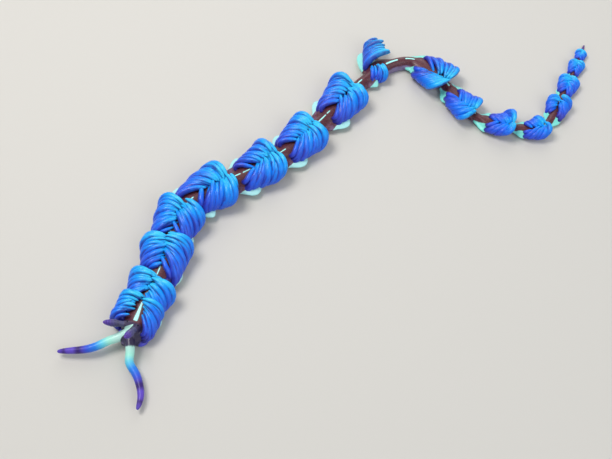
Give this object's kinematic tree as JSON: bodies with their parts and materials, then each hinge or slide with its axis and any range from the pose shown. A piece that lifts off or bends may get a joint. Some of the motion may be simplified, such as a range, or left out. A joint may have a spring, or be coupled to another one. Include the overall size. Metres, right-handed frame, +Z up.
{
  "type": "blue dragon nudibranch",
  "caption": "Life-size still model of a long blue sea slug crawling in an S, with paired arched clusters of finger-like cerata down its back, ringed rhinophores and long oral tentacles.",
  "frame": {"origin": "centre of the bounding box on the plane that the foot rests on", "axes": "+Z up out of the back, +X towards the side where the tail lies, +Y away from the head's end of the model; the head is at -X -Y and the tail at +X +Y"},
  "size_m": [0.0938, 0.0726, 0.0061],
  "materials": {
    "body_skin": "wet translucent skin, dark maroon brown with mint and pale cyan marks along the midline and under each cluster",
    "cerata": "wet translucent cerata, azure at the tips to violet blue at the roots",
    "tentacles": "wet skin, mint at the root, then azure, then violet with two dark purple bands",
    "rhinophores": "wet ringed skin, dark slate with violet tips"
  },
  "bodies": {
    "root": {"head": "body_skin", "oral_tentacle_base_right": "tentacles", "oral_tentacle_base_left": "tentacles", "oral_tentacle_tip_right": "tentacles", "oral_tentacle_tip_left": "tentacles", "rhinophore_right": "rhinophores", "rhinophore_left": "rhinophores", "foot_corner_right": "body_skin", "foot_corner_left": "body_skin", "neck": "cerata", "trunk_01": "cerata", "trunk_02": "cerata", "trunk_03": "cerata", "trunk_04": "cerata", "trunk_05": "cerata", "trunk_06": "cerata", "trunk_07": "cerata", "trunk_08": "cerata", "trunk_09": "cerata", "trunk_10": "cerata", "trunk_11": "cerata", "tail_01": "cerata", "tail_02": "cerata", "tail_03": "cerata"}
  },
  "joints": []
}
